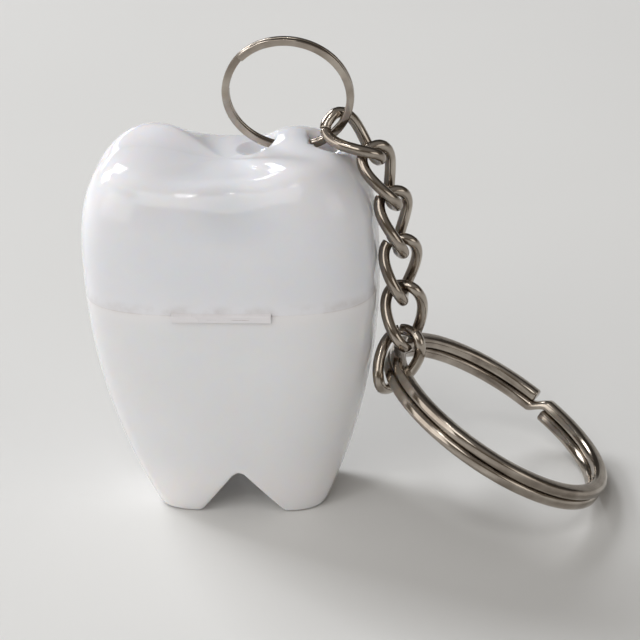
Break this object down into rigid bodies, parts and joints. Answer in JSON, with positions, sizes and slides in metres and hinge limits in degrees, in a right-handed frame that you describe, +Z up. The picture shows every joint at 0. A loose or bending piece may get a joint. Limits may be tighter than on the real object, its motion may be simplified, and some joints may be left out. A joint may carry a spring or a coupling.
{
  "type": "dental floss keychain",
  "caption": "White tooth-shaped dental floss case with a hinged lid, and a curb chain from its crown to a large split key ring",
  "frame": {"origin": "on the floor, under the middle of the box round the whole part as it stands", "axes": "+X from the tooth to the key ring, +Y to the hinge at the back, +Z up"},
  "size_m": [0.0601, 0.03, 0.0573],
  "materials": {
    "white_plastic": "glossy, a little blue",
    "warm_white_plastic": "glossy",
    "insert_plastic": "satin",
    "spool_plastic": "satin",
    "waxed_floss": "waxed thread",
    "cutter_steel": "bright sheet",
    "nickel_plate": "nickel-plated steel"
  },
  "bodies": {
    "case": {"lower_case": "warm_white_plastic", "floss_insert": "insert_plastic", "floss_cutter": "cutter_steel", "spool_axle": "cutter_steel", "floss_lead": "waxed_floss"},
    "lid": {"lid": "white_plastic"},
    "spool": {"floss_spool": "spool_plastic", "floss_winding": "waxed_floss"},
    "small_ring": {"small_ring": "nickel_plate"},
    "link_1": {"chain_link_1": "nickel_plate"},
    "link_2": {"chain_link_2": "nickel_plate"},
    "link_3": {"chain_link_3": "nickel_plate"},
    "link_4": {"chain_link_4": "nickel_plate"},
    "link_5": {"chain_link_5": "nickel_plate"},
    "link_6": {"chain_link_6": "nickel_plate"},
    "large_ring": {"large_ring": "nickel_plate"}
  },
  "joints": [
    {"name": "lid_hinge", "type": "hinge", "parent": "case", "child": "lid", "pos_m": [-0.01315, 0.01161, 0.0274], "axis": [-1, 0, 0], "range_deg": [0, 105]},
    {"name": "spool_spin", "type": "hinge", "parent": "case", "child": "spool", "pos_m": [-0.01315, 0.00035, 0.016], "axis": [0, 1, 0], "continuous": true},
    {"name": "small_ring_swing", "type": "hinge", "parent": "lid", "child": "small_ring", "pos_m": [-0.00575, 0.00275, 0.04296], "axis": [1, 0, 0], "range_deg": [-60, 10]},
    {"name": "link_1_swing", "type": "hinge", "parent": "small_ring", "child": "link_1", "pos_m": [-0.00129, 0.00234, 0.04651], "axis": [0.5773, 0.5362, 0.6158], "range_deg": [-25, 0]},
    {"name": "link_2_swing", "type": "hinge", "parent": "link_1", "child": "link_2", "pos_m": [0.00337, 0.00175, 0.04325], "axis": [0.8458, 0.4568, 0.2756], "range_deg": [-30, 0]},
    {"name": "link_3_swing", "type": "hinge", "parent": "link_2", "child": "link_3", "pos_m": [0.00551, 0.00135, 0.03803], "axis": [0.919, 0.387, 0.0747], "range_deg": [-40, 0]},
    {"name": "link_4_swing", "type": "hinge", "parent": "link_3", "child": "link_4", "pos_m": [0.00634, 0.00063, 0.03249], "axis": [0.9976, 0.0655, 0.0229], "range_deg": [-40, 40]},
    {"name": "link_5_swing", "type": "hinge", "parent": "link_4", "child": "link_5", "pos_m": [0.00647, 0.00008, 0.02688], "axis": [0.9544, -0.275, 0.1165], "range_deg": [-10, 40]},
    {"name": "link_6_swing", "type": "hinge", "parent": "link_5", "child": "link_6", "pos_m": [0.00735, -0.00058, 0.02126], "axis": [0.8159, -0.5416, -0.2024], "range_deg": [-30, 40]},
    {"name": "large_ring_swing", "type": "hinge", "parent": "link_6", "child": "large_ring", "pos_m": [0.00554, -0.00193, 0.0176], "axis": [-0.1668, 0.986, 0], "range_deg": [-55, 10]}
  ]
}
